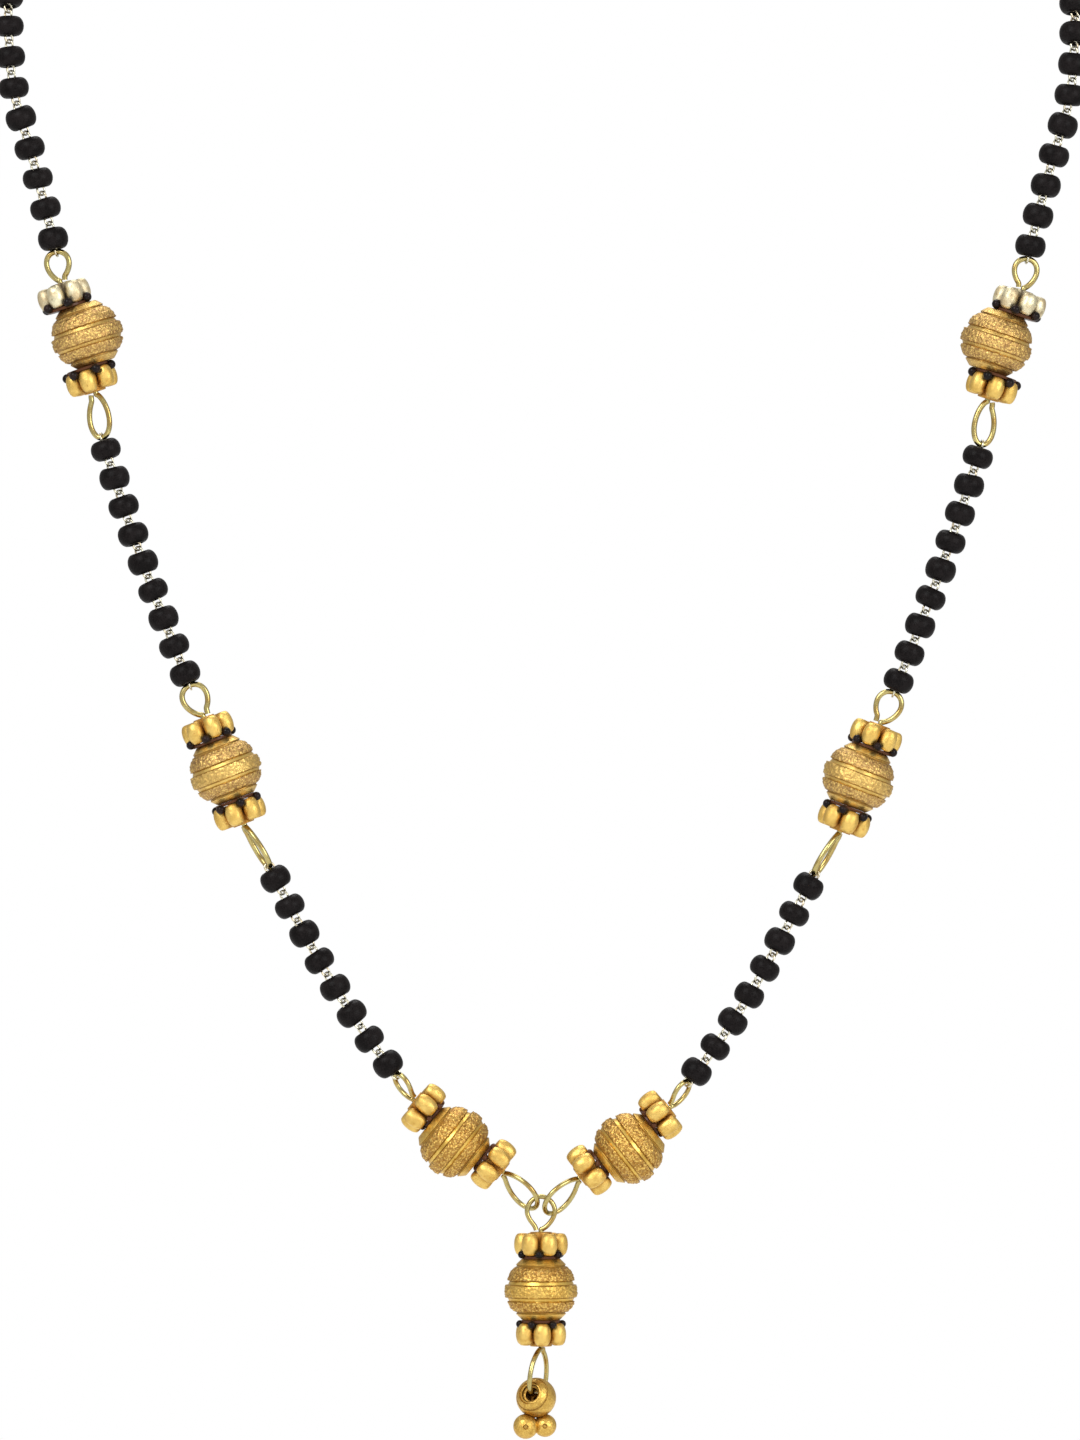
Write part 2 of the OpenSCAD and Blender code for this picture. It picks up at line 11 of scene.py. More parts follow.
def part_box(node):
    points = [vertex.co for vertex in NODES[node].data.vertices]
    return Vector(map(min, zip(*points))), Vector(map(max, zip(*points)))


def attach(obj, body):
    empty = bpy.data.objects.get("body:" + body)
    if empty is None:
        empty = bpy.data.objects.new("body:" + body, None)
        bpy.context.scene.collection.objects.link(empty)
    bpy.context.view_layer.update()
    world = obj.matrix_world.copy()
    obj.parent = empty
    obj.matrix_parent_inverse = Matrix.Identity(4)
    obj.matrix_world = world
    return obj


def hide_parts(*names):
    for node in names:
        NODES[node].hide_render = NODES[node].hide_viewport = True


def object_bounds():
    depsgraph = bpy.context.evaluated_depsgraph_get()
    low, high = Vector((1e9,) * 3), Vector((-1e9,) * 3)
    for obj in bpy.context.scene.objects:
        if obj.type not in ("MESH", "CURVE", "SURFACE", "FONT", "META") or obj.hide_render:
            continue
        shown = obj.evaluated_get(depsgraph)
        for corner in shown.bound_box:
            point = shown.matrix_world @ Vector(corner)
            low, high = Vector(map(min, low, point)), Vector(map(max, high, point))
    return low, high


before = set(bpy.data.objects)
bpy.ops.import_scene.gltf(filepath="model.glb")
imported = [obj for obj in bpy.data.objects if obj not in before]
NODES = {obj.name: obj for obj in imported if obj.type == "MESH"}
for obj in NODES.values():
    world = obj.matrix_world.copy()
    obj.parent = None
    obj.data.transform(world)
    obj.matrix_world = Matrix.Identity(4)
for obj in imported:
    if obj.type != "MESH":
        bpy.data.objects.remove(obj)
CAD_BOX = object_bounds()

bl_info = {
    "name": "Mangalsutra",
    "version": (1, 0, 0),
    "blender": (4, 5, 0),
    "location": "View3D > Sidebar > Mangalsutra",
    "description": "Dresses the packed necklace in gold, black glass and wire",
    "category": "Object",
}

MM = 0.001
PLACES = ("lower", "mid", "upper")
STRANDS = [f"{side}_{place}" for side in ("left", "right") for place in PLACES]
STACKS = ["pendant", *STRANDS]
UP = Vector((0, 0, 1))
VIEW = Vector((0, 1, 0))
LOBES = 6
LOBE_STEP = 360 / LOBES
ENDS = (("top", 1), ("bottom", -1))
# Radius in millimetres at which an open turned piece starts and ends.
TIP = 0.02

# Bands of a ball from its top end to its bottom end: share of the half height between the
# collars, share of the radius above the collar, and what the band is.
FROSTED, GROOVE, STRIPE = range(3)
BANDS = [
    (0.98, 0.06, GROOVE), (0.94, 0.06, GROOVE),
    (0.91, 0.17, FROSTED), (0.75, 0.47, FROSTED), (0.56, 0.68, FROSTED), (0.4, 0.75, FROSTED),
    (0.36, 0.75, FROSTED),
    (0.34, 0.75, STRIPE), (0.2, 0.87, STRIPE),
    (0.18, 0.94, FROSTED), (0, 0.99, FROSTED), (-0.12, 1, FROSTED), (-0.22, 0.99, FROSTED),
    (-0.33, 0.93, FROSTED),
    (-0.35, 0.92, STRIPE), (-0.47, 0.8, STRIPE),
    (-0.49, 0.77, FROSTED), (-0.62, 0.71, FROSTED), (-0.78, 0.5, FROSTED), (-0.91, 0.25, FROSTED),
    (-0.94, 0.06, GROOVE), (-0.98, 0.06, GROOVE),
]
# The belt that is rubbed smooth on some balls, as shares of the same half height.
BELT = (-0.34, 0.19)
# A groove or stripe has rows at these shares of its width, each with its own shadow.
ROW_SHARES = (0, 0.18, 0.5, 0.82, 1)
SHADOWS = {GROOVE: (0.8, 0.8, 0.7, 0.6, 0.4), STRIPE: (0.6, 0.1, 0, 0.05, 0.35)}
CHAMFER_SHINE = 0.7
BELT_SHINE = 0.5

# Middles and diameters in millimetres of the drilled ball and the two small balls of the drop.
DROP_BALLS = [((-0.486, -51, -183.765), 4), ((-1.526, -51.243, -186.621), 2.5),
              ((0.397, -50.707, -186.564), 2.3)]
DROP_FRONT = Vector((-0.4067, -0.9135, 0))
# The fine ring round the drop's front mouth: its radius and how far out it lies, as shares of
# the ball's radius.
RING_SHARE, RING_RISE = 0.83, 0.557

# The loop at a pin's end comes back to its neck between these rings of its wire.
NECK_RINGS = slice(12, 40)

# Places, sizes and powers of the softboxes, and the picture's middle on the flat front.
SOFTBOXES = [((-0.45, -0.75, 0.45), 0.5, 5.0), ((0.55, -0.65, 0.1), 0.4, 2.6),
             ((0.0, 0.3, 0.6), 0.5, 3.0), ((0.0, -0.8, -0.45), 0.4, 0.8)]
PICTURE_X, PICTURE_Z = -0.0001, -0.116


class BallSizes(bpy.types.PropertyGroup):
    """Sizes of the gold balls and wheels."""
    ball_d: bpy.props.FloatProperty(
        name="Ball diameter", description="Across the widest band, in mm", default=7.35, min=5)
    ball_h: bpy.props.FloatProperty(
        name="Ball length", description="Along the hole, in mm", default=6.1, min=4)
    ball_end_d: bpy.props.FloatProperty(
        name="End diameter", description="Flat at each end of a ball, in mm", default=3.8, min=2)
    collar_h: bpy.props.FloatProperty(
        name="Collar height", description="Smooth chamfer at each end, in mm", default=0.6,
        min=0.2)
    collar_groove: bpy.props.FloatProperty(
        name="Collar groove", description="Depth beside a collar, in mm", default=0.14, min=0)
    stripe_depth: bpy.props.FloatProperty(
        name="Stripe depth", description="Bright stripes below the frosted bands, in mm",
        default=0.24, min=0)
    hole_d: bpy.props.FloatProperty(
        name="Hole diameter", description="Drilled hole, in mm", default=2.6, min=1)
    frost: bpy.props.FloatProperty(
        name="Frosting", description="Height of the sand-blasted grain, in mm", default=0.12,
        min=0)
    grain_d: bpy.props.FloatProperty(
        name="Grain width", description="Grain of a wheel, in mm", default=1.75, min=1)
    grain_h: bpy.props.FloatProperty(
        name="Grain length", description="Along the axis, in mm", default=2.2, min=1)
    wheel_d: bpy.props.FloatProperty(
        name="Wheel diameter", description="Over its grains, in mm", default=5.4, min=3)
    tube_d: bpy.props.FloatProperty(
        name="Tube diameter", description="Inside a wheel, in mm", default=2.2, min=1)
    tube_rise: bpy.props.FloatProperty(
        name="Tube rise", description="Tube past the grains, in mm", default=0.12, min=0)
    gold: bpy.props.FloatVectorProperty(
        name="Gold", description="Colour of the plating", subtype="COLOR", size=3,
        default=(0.76, 0.51, 0.135))
    pits: bpy.props.FloatVectorProperty(
        name="Pits", description="Colour in the frosting's pits", subtype="COLOR", size=3,
        default=(0.42, 0.22, 0.05))
    # Patina, which also tones the painted shade in the grooves and hollows.
    patina_and_shade: bpy.props.FloatVectorProperty(
        name="Patina", description="Colour in the grooves and creases", subtype="COLOR", size=3,
        default=(0.26, 0.11, 0.02))
    lobe_ds: bpy.props.FloatVectorProperty(
        name="Black lobes",
        description="Diameter of a lobe on the pendant, lower, middle and upper balls, in mm",
        size=4, default=(0.8, 0.6, 0.9, 0.96))
    washer_h: bpy.props.FloatProperty(
        name="Black washer", description="Height of the washer under the lobes, in mm",
        default=0.26)


class BeadSizes(bpy.types.PropertyGroup):
    """Sizes of the black beads and of their wire."""
    bead_d: bpy.props.FloatProperty(name="Bead diameter", description="In mm", default=3.1, min=1)
    bead_h: bpy.props.FloatProperty(
        name="Bead height", description="Along the hole, in mm", default=2.22, min=1)
    flat_d: bpy.props.FloatProperty(
        name="Bead flat", description="Diameter of each end, in mm", default=1.65, min=1)
    hole_d: bpy.props.FloatProperty(
        name="Bead hole", description="Diameter, in mm", default=0.6, min=0.2)
    link_wire_d: bpy.props.FloatProperty(
        name="Link wire", description="Diameter, in mm", default=0.22, min=0.1)
    link_ring_d: bpy.props.FloatProperty(
        name="Link ring", description="Outer diameter, in mm", default=1.2, min=0.5)
    pin_wire_ds: bpy.props.FloatVectorProperty(
        name="Pin wires",
        description="Diameter on the pendant, lower, middle and upper balls, in mm", size=4,
        default=(0.5, 0.5, 0.56, 0.56))
    glass: bpy.props.FloatVectorProperty(
        name="Glass", description="Colour of the beads", subtype="COLOR", size=3,
        default=(0.005, 0.004, 0.004))
    wire: bpy.props.FloatVectorProperty(
        name="Wire", description="Colour of the pins' wire", subtype="COLOR", size=3,
        default=(0.5, 0.415, 0.165))
    pale: bpy.props.FloatVectorProperty(
        name="Pale wire", description="Colour of the links", subtype="COLOR", size=3,
        default=(0.74, 0.71, 0.56))


class DropSizes(bpy.types.PropertyGroup):
    """Sizes of the drop under the pendant and of the clasp."""
    hole_d: bpy.props.FloatProperty(
        name="Drop hole", description="Hole that the loop goes through, in mm", default=1.24,
        min=0.5)
    pitch: bpy.props.FloatVectorProperty(
        name="Hole slopes",
        description="How far the front and the back mouth are turned up, in degrees", size=2,
        default=(20, 35))
    clasp_d: bpy.props.FloatProperty(
        name="Clasp diameter", description="Of the barrel, in mm", default=3, min=1)
    clasp_len: bpy.props.FloatProperty(
        name="Clasp length", description="Of the barrel, in mm", default=8, min=2)
    clasp_eye_d: bpy.props.FloatProperty(
        name="Clasp eye", description="At the middle of its wire, in mm", default=1.4, min=0.5)
    eye_wire_d: bpy.props.FloatProperty(
        name="Clasp eye wire", description="Diameter, in mm", default=0.46, min=0.2)


class StudioSettings(bpy.types.PropertyGroup):
    """The camera, the floor and the light."""
    distance: bpy.props.FloatProperty(
        name="Camera distance", description="From the flat front", subtype="DISTANCE", default=1.2,
        min=0.3)
    frame_height: bpy.props.FloatProperty(
        name="Frame height", description="Of the picture at the flat front", subtype="DISTANCE",
        default=0.144)
    floor_gap: bpy.props.FloatProperty(
        name="Floor gap", description="Below the drop", subtype="DISTANCE", default=0.03, min=0)
    light: bpy.props.FloatProperty(
        name="Light", description="Strength of the softboxes", default=1.0, min=0)
    front_glow: bpy.props.FloatProperty(
        name="Front glow", description="Brightness of the room before the necklace", default=0.72,
        min=0)
    back_glow: bpy.props.FloatProperty(
        name="Back glow", description="Brightness of the room behind the necklace", default=0.5,
        min=0)


class Value:
    """A shader socket that takes part in Python maths."""

    def __init__(self, recipe, socket):
        self.recipe, self.socket = recipe, socket

    def maths(self, operation, a, b):
        return self.recipe.add("ShaderNodeMath", {"operation": operation}, {0: a, 1: b})

    def __add__(self, other):
        return self.maths("ADD", self, other)

    def __sub__(self, other):
        return self.maths("SUBTRACT", self, other)

    def __rsub__(self, other):
        return self.maths("SUBTRACT", other, self)

    def __mul__(self, other):
        return self.maths("MULTIPLY", self, other)


class Nodes:
    """A node tree that is filled by short calls."""

    def __init__(self, tree):
        self.tree = tree

    def add(self, kind, settings=None, inputs=None, output=0):
        """One node: its settings come first, then its sockets' values or links."""
        node = self.tree.nodes.new(kind)
        for name, value in (settings or {}).items():
            setattr(node, name, value)
        for name, value in (inputs or {}).items():
            self.join(node.inputs[name], value)
        return Value(self, node.outputs[output])

    def join(self, socket, value):
        """A link to a socket, or its constant."""
        if isinstance(value, Value):
            self.tree.links.new(value.socket, socket)
        elif socket.type == "RGBA":
            socket.default_value = (*value[:3], 1)
        else:
            socket.default_value = value

    def millimetres(self):
        """Object coordinates in millimetres."""
        place = self.add("ShaderNodeTexCoord", output="Object")
        return self.add("ShaderNodeMapping", inputs={"Vector": place, "Scale": (1 / MM,) * 3})

    def noise(self, place, scale, detail=2.0, roughness=0.5):
        """Soft noise with about this many waves to a unit of the place."""
        return self.add("ShaderNodeTexNoise", inputs={
            "Vector": place, "Scale": scale, "Detail": detail, "Roughness": roughness})

    def cells(self, place, scale, feature="F1"):
        """Distance from the middle of the nearest cell."""
        return self.add("ShaderNodeTexVoronoi", {"feature": feature}, {
            "Vector": place, "Scale": scale})

    def ramp(self, value, low, high, to_low=0.0, to_high=1.0):
        """The value eased from one range to another, and held at its ends."""
        return self.add("ShaderNodeMapRange", {"interpolation_type": "SMOOTHSTEP"}, {
            "Value": value, "From Min": low, "From Max": high, "To Min": to_low,
            "To Max": to_high})

    def attribute(self, name):
        """A number that the piece carries at each point."""
        return self.add("ShaderNodeAttribute", {"attribute_name": name}, output="Fac")

    def mix(self, factor, a, b):
        """The first colour where the factor is 0, and the second where it is 1."""
        # Sockets 6, 7 and 2 are the ones for colours.
        return self.add("ShaderNodeMix", {"data_type": "RGBA"}, {"Factor": factor, 6: a, 7: b}, 2)

    def bump(self, height, distance, strength):
        """A relief of this height in metres, for the shader's normal."""
        return self.add("ShaderNodeBump", inputs={
            "Height": height, "Distance": distance, "Strength": strength})


class Recipe(Nodes):
    """One material and its nodes."""

    def __init__(self, name, **constants):
        self.material = bpy.data.materials.new(name)
        self.material.use_nodes = True
        super().__init__(self.material.node_tree)
        self.shader = self.tree.nodes["Principled BSDF"]
        for socket, value in constants.items():
            self.join(self.socket(socket), value)

    def socket(self, name):
        """A shader's socket, by its name with underscores."""
        return self.shader.inputs[name.replace("_", " ")]

    def finish(self, **links):
        """The material, once its shader is linked."""
        for socket, value in links.items():
            self.join(self.socket(socket), value)
        return self.material


def shade(colour, factor):
    """A darker or lighter tone of a colour."""
    return tuple(c * factor for c in colour)


# Colours beside those in the settings, each bright one before its dark one.
GLINT, PALE_GOLD = (0.95, 0.76, 0.34), (0.95, 0.88, 0.6)
STRIPE_GOLD, STRIPE_DARK = (0.8, 0.54, 0.13), (0.62, 0.39, 0.08)
WHEEL_GOLD, WHEEL_DARK = (0.8, 0.55, 0.155), (0.66, 0.43, 0.11)
# The third silvery colour is the dirt in the pits and the tone of the painted shade.
SILVERY_GOLD, SILVERY_DARK, SILVERY_DIRT_AND_SHADE = (0.8, 0.73, 0.5), (0.62, 0.5, 0.3), (0.1, 0.07, 0.04)
CLASP_GOLD, CLASP_DARK = (0.84, 0.6, 0.2), (0.72, 0.48, 0.15)
PIN_TARNISH, LINK_TARNISH = (0.42, 0.28, 0.085), (0.62, 0.52, 0.36)
LOBE_GREY, LOBE_BLACK = (0.02, 0.01, 0.008), (0.006, 0.004, 0.004)
PAINTED_SHADE_BROWN = (0.085, 0.032, 0.014)


def frosted_gold(sizes, name="frosted_gold", paler=0.0):
    """Sand-blasted gold with bright turned stripes, told apart by the finish attribute. The crease
    attribute paints shade into it, and paler is its share of pale gold."""
    r = Recipe(name, Metallic=1.0)
    place = r.millimetres()
    bright = r.attribute("finish")
    frost = 1 - bright
    pits = r.cells(place, 4.2)
    fine = r.noise(place, 5.5, 3.0, 0.65)
    cloud = r.noise(place, 0.8, 3.0)
    dots = r.ramp(r.noise(place, 3.4, 2.0), 0.57, 0.63)
    speckled = r.mix(r.ramp(pits * 0.6 + fine * 0.7, 0.5, 0.72), sizes.gold, sizes.pits)
    dotted = r.mix(dots * 0.75, speckled, sizes.patina_and_shade)
    # Painted glints: bright specks of pale gold over the frosting.
    glinted = r.mix(r.ramp(fine, 0.55, 0.72) * 0.45, dotted, GLINT)
    # Painted reflections of the stripes' turned facets, as lighter and darker patches.
    stripe = r.mix(r.ramp(cloud, 0.36, 0.64), STRIPE_GOLD, STRIPE_DARK)
    toned = r.mix(paler, r.mix(bright, glinted, stripe), PALE_GOLD)
    # Painted shade, where the crease attribute is high.
    metal = r.mix(r.attribute("crease_shade"), toned, shade(sizes.patina_and_shade, 0.8))
    matt, satin = r.ramp(fine, 0.3, 0.7, 0.4, 0.56), r.ramp(cloud, 0.3, 0.7, 0.34, 0.46)
    rough = matt * frost + bright * satin
    height = (fine * 0.7 - pits) * frost + r.noise(place, 2.2, 3.0) * 0.5 * bright
    return r.finish(Base_Color=metal, Roughness=rough, Normal=r.bump(height, 0.06 * MM, 0.9))


def wheel_gold(name, light, dark, patina_and_shade):
    """Satin gold of the wheels and the clasp, with shade painted into its hollows by the crease
    attribute.
    """
    r = Recipe(name, Metallic=1.0)
    place = r.millimetres()
    cloud = r.noise(place, 0.9, 3.0)
    hammer = r.cells(place, 1.7, "SMOOTH_F1")
    scuff = r.noise(place, 7.0, 3.0, 0.6)
    toned = r.mix(r.ramp(cloud, 0.38, 0.66), light, dark)
    pocked = r.mix(r.ramp(hammer + scuff * 0.3, 0.16, 0.4, 0.5, 0.0), toned, shade(patina_and_shade, 1.3))
    # Painted shade in the hollows, where the crease attribute is high.
    metal = r.mix(r.attribute("crease_shade"), pocked, patina_and_shade)
    rough = r.ramp(cloud, 0.3, 0.7, 0.36, 0.48) + scuff * 0.1
    return r.finish(Base_Color=metal, Roughness=rough,
                    Normal=r.bump(hammer + scuff * 0.3, 0.1 * MM, 0.8))


def drawn_wire(name, colour, dark, rough):
    """Bright drawn wire with draw marks and slight tarnish."""
    r = Recipe(name, Metallic=1.0)
    place = r.millimetres()
    cloud = r.noise(place, 0.9, 3.0)
    marks = r.noise(place, 9.0, 2.0, 0.6)
    metal = r.mix(r.ramp(cloud, 0.4, 0.7), colour, dark)
    return r.finish(Base_Color=metal, Roughness=r.ramp(marks, 0.3, 0.7, rough, rough + 0.1),
                    Normal=r.bump(marks, 0.005 * MM, 0.6))


def black_glass(sizes):
    """Satin black glass with a faint bloom and small marks."""
    r = Recipe("black_glass", Specular_IOR_Level=0.06)
    place = r.millimetres()
    cloud = r.noise(place, 0.8, 3.0)
    marks = r.noise(place, 6.0, 3.0, 0.6)
    tone = r.mix(r.ramp(marks + cloud, 0.8, 1.2), sizes.glass, shade(sizes.glass, 2.2))
    return r.finish(Base_Color=tone, Roughness=r.ramp(marks, 0.3, 0.7, 0.26, 0.44),
                    Normal=r.bump(marks + cloud, 0.03 * MM, 0.7))


def black_gloss():
    """Glossy black lobes on a washer browned as painted shade, told apart by the worn attribute.
    """
    r = Recipe("black_gloss", Specular_IOR_Level=0.14)
    place = r.millimetres()
    cloud = r.noise(place, 1.6, 3.0)
    black = r.mix(r.ramp(cloud, 0.4, 0.7), LOBE_BLACK, LOBE_GREY)
    # The washer's brown is painted shade where the gold grains meet the ball.
    tone = r.mix(r.attribute("toned"), black, PAINTED_SHADE_BROWN)
    return r.finish(Base_Color=tone, Roughness=r.ramp(cloud, 0.3, 0.7, 0.18, 0.34),
                    Normal=r.bump(cloud, 0.03 * MM, 0.5))


def studio_floor():
    """Matt pale floor."""
    r = Recipe("studio_floor")
    place = r.millimetres()
    tone = r.mix(r.noise(place, 0.02, 2.0), (0.86, 0.86, 0.86), (0.82, 0.82, 0.82))
    return r.finish(Base_Color=tone, Roughness=r.ramp(r.noise(place, 0.5), 0.3, 0.7, 0.55, 0.65))


def only(*pieces):
    """Selects these pieces alone, the first of them active."""
    for o in bpy.context.selected_objects:
        o.select_set(False)
    for o in pieces:
        o.select_set(True)
    if pieces:
        bpy.context.view_layer.objects.active = pieces[0]


def editing(piece):
    """Edit mode on this piece alone, all of it selected."""
    only(piece)
    bpy.ops.object.mode_set(mode="EDIT")
    bpy.ops.mesh.select_all(action="SELECT")


def apply_place():
    """Moves the selected piece's place into its mesh."""
    bpy.ops.object.transform_apply(location=True, rotation=True, scale=True)


def added(primitive, **settings):
    """A new primitive, with its place in its mesh."""
    only()
    primitive(**settings)
    apply_place()
    return bpy.context.object


def close_up(piece, angle=40):
    """Merges doubled points, turns the faces outwards and smooths all but the sharp edges."""
    editing(piece)
    bpy.ops.mesh.remove_doubles(threshold=0.0005 * MM)
    bpy.ops.mesh.normals_make_consistent(inside=False)
    bpy.ops.object.mode_set(mode="OBJECT")
    only(piece)
    bpy.ops.object.shade_smooth_by_angle(angle=math.radians(angle))
    return piece


def mark(piece, attribute, values):
    """A number at each point of the piece, read by its material."""
    layer = piece.data.attributes.new(attribute, "FLOAT", "POINT")
    layer.data.foreach_set("value", np.asarray(values, dtype=np.float32))


def points_of(mesh):
    """A mesh's points in millimetres."""
    points = np.empty(len(mesh.vertices) * 3)
    mesh.vertices.foreach_get("co", points)
    return points.reshape(-1, 3) / MM


def fading(distance, reach, width):
    """1 up close, falling to 0 over the last width before the reach."""
    return np.clip((reach - distance) / width, 0, 1)


def turned(name, rows, segments, marks=None, closed=True):
    """A piece turned on the Z axis: a circle is extruded and scaled from row to row. Rows are
    radius and height in millimetres; marks give attributes by name, with a number for every row.
    A closed piece comes back to its first row, and any other has both ends filled."""
    r, z = rows[0]
    piece = added(bpy.ops.mesh.primitive_circle_add, vertices=segments, radius=r * MM,
                  location=(0, 0, z * MM))
    piece.name = piece.data.name = name
    editing(piece)
    for next_r, next_z in [*rows[1:], *rows[:closed]]:
        rise = (0, 0, (next_z - z) * MM)
        bpy.ops.mesh.extrude_edges_move(TRANSFORM_OT_translate={"value": rise})
        if abs(next_r - r) > 1e-9:
            bpy.ops.transform.resize(value=(next_r / r, next_r / r, 1),
                                     center_override=(0, 0, next_z * MM))
        r, z = next_r, next_z
    if not closed:
        bpy.ops.mesh.select_all(action="SELECT")
        bpy.ops.mesh.region_to_loop()
        bpy.ops.mesh.fill_holes(sides=0)
    bpy.ops.object.mode_set(mode="OBJECT")
    for attribute, values in (marks or {}).items():
        mark(piece, attribute, np.repeat([*values, *values[:closed]], segments))
    return close_up(piece)


def rounded_side(flat, wide, half, top, steps, fullness=1.0):
    """Rows down a rounded side, from top degrees above its middle to as many below."""
    rows = []
    for step in range(steps + 1):
        angle = math.radians(top - 2 * top * step / steps)
        bulge = abs(math.cos(angle)) ** fullness
        rows.append((flat + (wide - flat) * bulge, half * math.sin(angle)))
    return rows


def flat_ring(bore, rim, low, high, inner, outer):
    """Rows round a flat ring whose edges are cut by the inner and the outer chamfer."""
    return [(bore, low + inner), (bore, high - inner), (bore + inner, high), (rim - outer, high),
            (rim, high - outer), (rim, low + outer), (rim - outer, low), (bore + inner, low)]


def mirrored(rows):
    """The same rows below the middle, in the order that carries on from above it."""
    return [(r, -z) for r, z in reversed(rows)]


def copy_of(piece, name):
    """A copy with a mesh of its own."""
    twin = piece.copy()
    twin.data = piece.data.copy()
    twin.name = twin.data.name = name
    bpy.context.scene.collection.objects.link(twin)
    return twin


def placed(piece, matrix):
    """Moves the piece's mesh, so that its object stays at the origin."""
    piece.matrix_world = matrix
    only(piece)
    apply_place()
    return piece


def joined(name, parts):
    """The parts as one piece, the first part's mesh first."""
    only(*parts)
    bpy.ops.object.join()
    whole = bpy.context.object
    whole.name = whole.data.name = name
    return whole


def discard(piece):
    """Takes a model away once it is copied, and its object with it."""
    bpy.data.meshes.remove(piece.data)


def fused(name, piece, others, operation="UNION"):
    """Welds the others to the piece, or cuts them out of it, one after another."""
    for other in others:
        weld = piece.modifiers.new("weld", "BOOLEAN")
        weld.operation, weld.object, weld.solver = operation, other, "EXACT"
        only(piece)
        bpy.ops.object.modifier_apply(modifier="weld")
        discard(other)
    piece.name = piece.data.name = name
    return piece


def dress(piece, material, node):
    """The finished piece takes its material and its CAD node's body, and hides the CAD node."""
    piece.data.materials.clear()
    piece.data.materials.append(material)
    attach(piece, "pendant" if node.startswith(("pendant", "drop")) else "necklace")
    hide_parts(node)


def faceted(node):
    """A CAD node's points and triangles, with doubled points merged."""
    mesh = NODES[node].data
    mesh.calc_loop_triangles()
    points = points_of(mesh)
    triangles = np.empty(len(mesh.loop_triangles) * 3, dtype=np.int64)
    mesh.loop_triangles.foreach_get("vertices", triangles)
    _, first, same = np.unique(np.round(points, 4), axis=0, return_index=True, return_inverse=True)
    return points[first], same.reshape(-1)[triangles].reshape(-1, 3)


def solids(node):
    """The points and triangles of each loose solid of a CAD node, from the lowest number up."""
    points, triangles = faceted(node)
    label = np.arange(len(points))
    while True:
        lowest = label[triangles].min(axis=1)
        new = label.copy()
        np.minimum.at(new, triangles.ravel(), np.repeat(lowest, 3))
        new = new[new]
        if (new == label).all():
            break
        label = new
    return [(points, triangles[label[triangles[:, 0]] == k]) for k in np.unique(label[triangles])]


def surface(solid):
    """The points that a solid's triangles use."""
    points, triangles = solid
    return points[np.unique(triangles)]


def seen_in(turn, points):
    """Points in millimetres, measured in metres in a turned piece's own frame."""
    inner = np.array(turn.inverted())
    return points * MM @ inner[:3, :3].T + inner[:3, 3]


def spread(solid):
    """A solid's middle, its spreads by its surface and their directions, from the least up."""
    points, triangles = solid
    corners = points[triangles]
    middles = corners.mean(axis=1)
    edges = corners[:, 1] - corners[:, 0], corners[:, 2] - corners[:, 0]
    areas = np.linalg.norm(np.cross(*edges), axis=1)
    middle = (middles * areas[:, None]).sum(axis=0) / areas.sum()
    off = middles - middle
    size, ways = np.linalg.eigh((off * areas[:, None]).T @ off / areas.sum())
    return middle, size, ways.T


def upright(middle, axis, front=VIEW):
    """A frame with Z along the axis and Y away from the viewer, in metres."""
    z = Vector(axis).normalized()
    y = (Vector(front) - z * z.dot(Vector(front))).normalized()
    x = y.cross(z)
    turn = Matrix((x, y, z)).transposed().to_4x4()
    return Matrix.Translation(Vector(middle) * MM) @ turn


def turning_frame(solid, up):
    """The frame of a turned solid: its odd direction is its axis, and its middle is half way."""
    middle, size, ways = spread(solid)
    axis = ways[0] if size[1] - size[0] > size[2] - size[1] else ways[2]
    axis = axis * (1 if axis @ np.array(up) > 0 else -1)
    along = (surface(solid) - middle) @ axis
    return upright(middle + axis * (along.max() + along.min()) / 2, axis)


def lobe_phase(solid, turn):
    """How far the first lobe is turned from the frame's X axis."""
    local = seen_in(turn, surface(solid))
    reach = np.hypot(local[:, 0], local[:, 1])
    # Only the lobes' outer tips are this near to the rim.
    far = local[reach > reach.max() * 0.93]
    return np.angle(np.exp(1j * LOBES * np.arctan2(far[:, 1], far[:, 0])).mean()) / LOBES


def by_place(values, stack):
    """Of four values, the one for this stack: pendant, lower, middle or upper."""
    return values[("pendant", *PLACES).index(stack.split("_")[-1])]


def spoke(k, reach, phase=0.0):
    """The place of lobe k, this many millimetres out from the axis."""
    turn = Matrix.Rotation(phase + math.radians(LOBE_STEP * k), 4, "Z")
    return turn @ Matrix.Translation((reach * MM, 0, 0))


